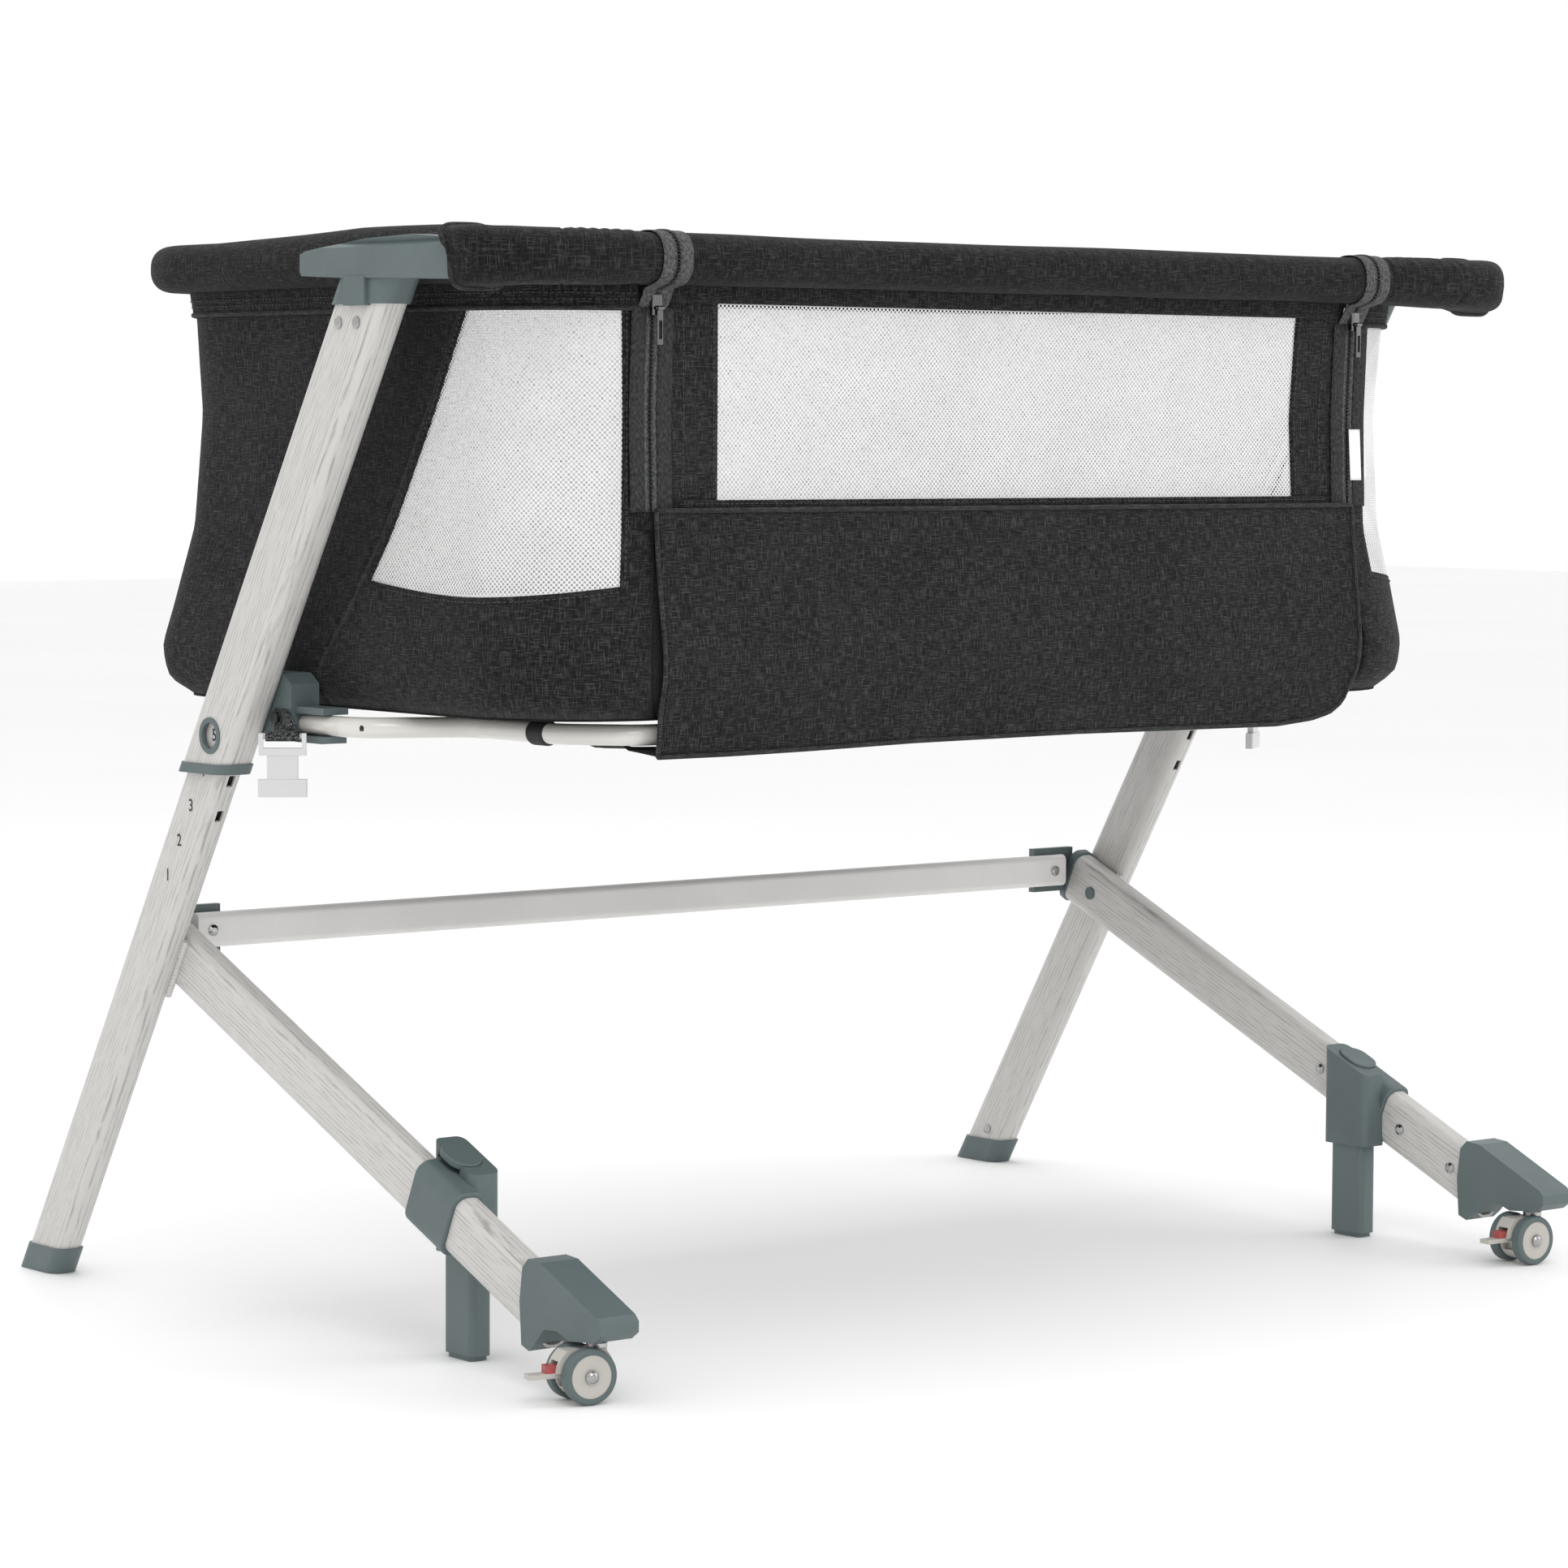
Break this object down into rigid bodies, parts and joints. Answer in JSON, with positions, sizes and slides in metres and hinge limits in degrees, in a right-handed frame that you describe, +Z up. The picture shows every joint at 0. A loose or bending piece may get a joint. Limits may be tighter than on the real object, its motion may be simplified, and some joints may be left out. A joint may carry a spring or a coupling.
{
  "type": "bassinet on stand",
  "caption": "Bedside bassinet: fabric basket with a zipped drop side on a height-adjustable tube stand with casters.",
  "frame": {"origin": "on the floor in the middle of the stand", "axes": "+X along the basket's length, -Y towards the adult bed (drop side and casters), +Z up"},
  "size_m": [0.953, 0.685, 0.7385],
  "materials": {
    "wood_paint": "off-white wood-grain film on steel tube",
    "crossbar_paint": "satin light grey paint",
    "bow_paint": "gloss off-white paint",
    "slate_plastic": "slate grey-green moulded plastic",
    "post_plastic": "slate grey-green moulded plastic, slightly glossier",
    "hub_plastic": "warm light grey plastic",
    "tyre_grey": "slate grey soft tread",
    "brake_red": "red plastic",
    "rivet_chrome": "bright",
    "stem_steel": "bright",
    "inner_steel": "plain",
    "charcoal_cloth": "charcoal melange linen weave",
    "white_mesh": "white fine mesh",
    "mattress_cloth": "white knit",
    "board": "fibreboard",
    "zip_metal": "dark nickel",
    "screw_black": "black oxide",
    "webbing": "dark melange webbing",
    "buckle_white": "white"
  },
  "bodies": {
    "stand": {"leg_long_tube_left": "wood_paint", "leg_long_tube_right": "wood_paint", "foot_caps": "slate_plastic", "leg_front_tube_left": "wood_paint", "leg_front_tube_right": "wood_paint", "leg_end_caps": "slate_plastic", "crossbar": "crossbar_paint", "post_collar_left": "slate_plastic", "post_collar_right": "slate_plastic", "caster_housing_left": "slate_plastic", "caster_housing_right": "slate_plastic", "stand_rivets": "rivet_chrome"},
    "upper": {"leg_sleeve_left": "wood_paint", "leg_sleeve_right": "wood_paint", "sleeve_rim_left": "slate_plastic", "sleeve_rim_right": "slate_plastic", "sleeve_rivets": "rivet_chrome", "top_bracket_left": "slate_plastic", "top_bracket_right": "slate_plastic", "lower_bracket_left": "slate_plastic", "lower_bracket_right": "slate_plastic", "lower_bow_tube": "bow_paint", "top_rail_tube": "inner_steel", "rail_cover": "charcoal_cloth", "basket_shell": "charcoal_cloth", "side_mesh_windows": "white_mesh", "mattress_board": "board", "mattress": "mattress_cloth", "front_flap": "charcoal_cloth", "tether_screws": "screw_black"},
    "drop_panel": {"drop_panel_fabric": "charcoal_cloth", "drop_panel_mesh": "white_mesh", "drop_rail_cover": "charcoal_cloth", "drop_rail_tube": "inner_steel"},
    "post_left": {"support_post_left": "post_plastic"},
    "button_left": {"post_button_left": "slate_plastic"},
    "caster_left": {"caster_frame_left": "hub_plastic", "caster_stem_left": "stem_steel"},
    "wheels_left": {"wheel_tyres_left": "tyre_grey", "wheel_hubs_left": "hub_plastic", "caster_axle_left": "rivet_chrome"},
    "brake_left": {"brake_lever_left": "hub_plastic", "brake_block_left": "brake_red"},
    "zip_slider_left_body": {"zip_slider_left": "zip_metal"},
    "zip_pull_left_body": {"zip_pull_left": "zip_metal"},
    "tether_left": {"tether_strap_left": "webbing"},
    "buckle_left": {"tether_buckle_left": "buckle_white"},
    "post_right": {"support_post_right": "post_plastic"},
    "button_right": {"post_button_right": "slate_plastic"},
    "caster_right": {"caster_frame_right": "hub_plastic", "caster_stem_right": "stem_steel"},
    "wheels_right": {"wheel_tyres_right": "tyre_grey", "wheel_hubs_right": "hub_plastic", "caster_axle_right": "rivet_chrome"},
    "brake_right": {"brake_lever_right": "hub_plastic", "brake_block_right": "brake_red"},
    "zip_slider_right_body": {"zip_slider_right": "zip_metal"},
    "zip_pull_right_body": {"zip_pull_right": "zip_metal"},
    "tether_right": {"tether_strap_right": "webbing"},
    "buckle_right": {"tether_buckle_right": "buckle_white"}
  },
  "joints": [
    {"name": "height_slide", "type": "slide", "parent": "stand", "child": "upper", "axis": [0, -0.515, 0.8572], "range_m": [-0.1167, 0]},
    {"name": "drop_side_hinge", "type": "hinge", "parent": "upper", "child": "drop_panel", "pos_m": [0, -0.2375, 0.5575], "axis": [1, 0, 0], "range_deg": [0, 165]},
    {"name": "post_slide_left", "type": "slide", "parent": "stand", "child": "post_left", "axis": [0, 0, 1], "range_m": [0, 0.015]},
    {"name": "post_button_press_left", "type": "slide", "parent": "stand", "child": "button_left", "axis": [0, 0.4035, -0.915], "range_m": [0, 0.0035], "stiffness_N_per_m": 1200, "springref_m": -0.002},
    {"name": "caster_swivel_left", "type": "hinge", "parent": "stand", "child": "caster_left", "pos_m": [-0.432, -0.321, 0.03], "axis": [0, 0, 1], "continuous": true},
    {"name": "wheel_spin_left", "type": "hinge", "parent": "caster_left", "child": "wheels_left", "pos_m": [-0.4428, -0.3189, 0.018], "axis": [0.1908, 0.9816, 0], "continuous": true},
    {"name": "brake_press_left", "type": "hinge", "parent": "caster_left", "child": "brake_left", "pos_m": [-0.45507, -0.31652, 0.0186], "axis": [-0.1908, -0.9816, 0], "range_deg": [0, 12]},
    {"name": "zip_slide_left", "type": "slide", "parent": "upper", "child": "zip_slider_left_body", "axis": [0, 0, 1], "range_m": [-0.115, 0]},
    {"name": "zip_pull_swing_left", "type": "hinge", "parent": "zip_slider_left_body", "child": "zip_pull_left_body", "pos_m": [-0.321, -0.239, 0.688], "axis": [-1, 0, 0], "range_deg": [0, 100]},
    {"name": "tether_swing_left", "type": "hinge", "parent": "upper", "child": "tether_left", "pos_m": [-0.4415, 0.026, 0.414], "axis": [1, 0, 0], "range_deg": [-35, 25]},
    {"name": "buckle_swing_left", "type": "hinge", "parent": "tether_left", "child": "buckle_left", "pos_m": [-0.4545, 0.001, 0.403], "axis": [0.809, -0.5878, 0], "range_deg": [-20, 20]},
    {"name": "post_slide_right", "type": "slide", "parent": "stand", "child": "post_right", "axis": [0, 0, 1], "range_m": [0, 0.015]},
    {"name": "post_button_press_right", "type": "slide", "parent": "stand", "child": "button_right", "axis": [0, 0.4035, -0.915], "range_m": [0, 0.0035], "stiffness_N_per_m": 1200, "springref_m": -0.002},
    {"name": "caster_swivel_right", "type": "hinge", "parent": "stand", "child": "caster_right", "pos_m": [0.432, -0.321, 0.03], "axis": [0, 0, 1], "continuous": true},
    {"name": "wheel_spin_right", "type": "hinge", "parent": "caster_right", "child": "wheels_right", "pos_m": [0.42101, -0.32042, 0.018], "axis": [0.0523, 0.9986, 0], "continuous": true},
    {"name": "brake_press_right", "type": "hinge", "parent": "caster_right", "child": "brake_right", "pos_m": [0.40853, -0.31977, 0.0186], "axis": [-0.0523, -0.9986, 0], "range_deg": [0, 12]},
    {"name": "zip_slide_right", "type": "slide", "parent": "upper", "child": "zip_slider_right_body", "axis": [0, 0, 1], "range_m": [-0.115, 0]},
    {"name": "zip_pull_swing_right", "type": "hinge", "parent": "zip_slider_right_body", "child": "zip_pull_right_body", "pos_m": [0.321, -0.239, 0.688], "axis": [-1, 0, 0], "range_deg": [0, 100]},
    {"name": "tether_swing_right", "type": "hinge", "parent": "upper", "child": "tether_right", "pos_m": [0.4415, 0.026, 0.414], "axis": [1, 0, 0], "range_deg": [-35, 25]},
    {"name": "buckle_swing_right", "type": "hinge", "parent": "tether_right", "child": "buckle_right", "pos_m": [0.4545, 0.001, 0.403], "axis": [0.809, 0.5878, 0], "range_deg": [-20, 20]}
  ]
}
